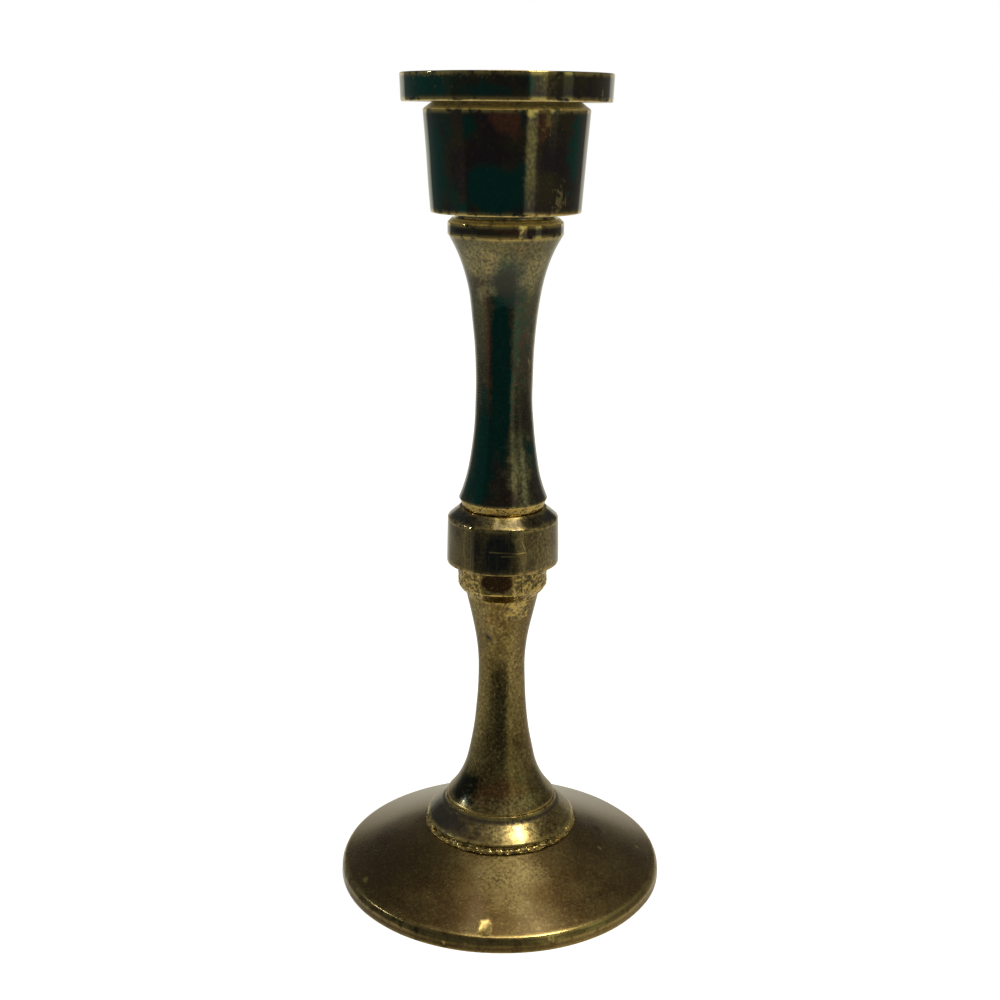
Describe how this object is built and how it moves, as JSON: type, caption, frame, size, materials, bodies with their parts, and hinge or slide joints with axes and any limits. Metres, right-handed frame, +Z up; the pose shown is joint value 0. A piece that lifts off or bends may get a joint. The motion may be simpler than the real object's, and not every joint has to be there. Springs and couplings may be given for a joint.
{
  "type": "altar candlestick",
  "caption": "Slim turned brass candlestick: dished drip pan and candle sleeve lifting out of a tapered cup, waisted stems with a drum knop, shallow conical foot.",
  "frame": {"origin": "centre of the base on the surface that it stands on", "axes": "+Z up along the turned axis, from the foot to the drip pan; X and Y level, the piece is round"},
  "size_m": [0.0632, 0.0632, 0.1525],
  "materials": {
    "dark_brass": "old dark brown-black patina over turned brass, satin",
    "stem_brass": "mottled brown and olive patina over turned brass, satin",
    "pale_brass": "pitted bare brass, patina worn off",
    "base_brass": "even brown patina with fine speckle, satin",
    "braze_metal": "rough golden brazing metal with dark pits",
    "sleeve_brass": "brass with wax-darkened patina inside",
    "steel": "dull zinc-plated steel"
  },
  "bodies": {
    "column": {"candle_cup": "dark_brass", "cup_collar": "dark_brass", "upper_stem": "stem_brass", "upper_ring": "pale_brass", "knop": "dark_brass", "lower_ring": "pale_brass", "lower_stem": "stem_brass", "base_shoulder": "stem_brass", "braze_bead": "braze_metal", "base_foot": "base_brass", "tie_rod": "steel", "top_washer": "steel", "top_nut": "steel", "bottom_washer": "steel", "lock_washer": "steel", "bottom_nut": "steel"},
    "nozzle": {"drip_pan": "dark_brass", "candle_sleeve": "sleeve_brass"}
  },
  "joints": [
    {"name": "nozzle_lift", "type": "slide", "parent": "column", "child": "nozzle", "axis": [0, 0, 1], "range_m": [0, 0.018]}
  ]
}
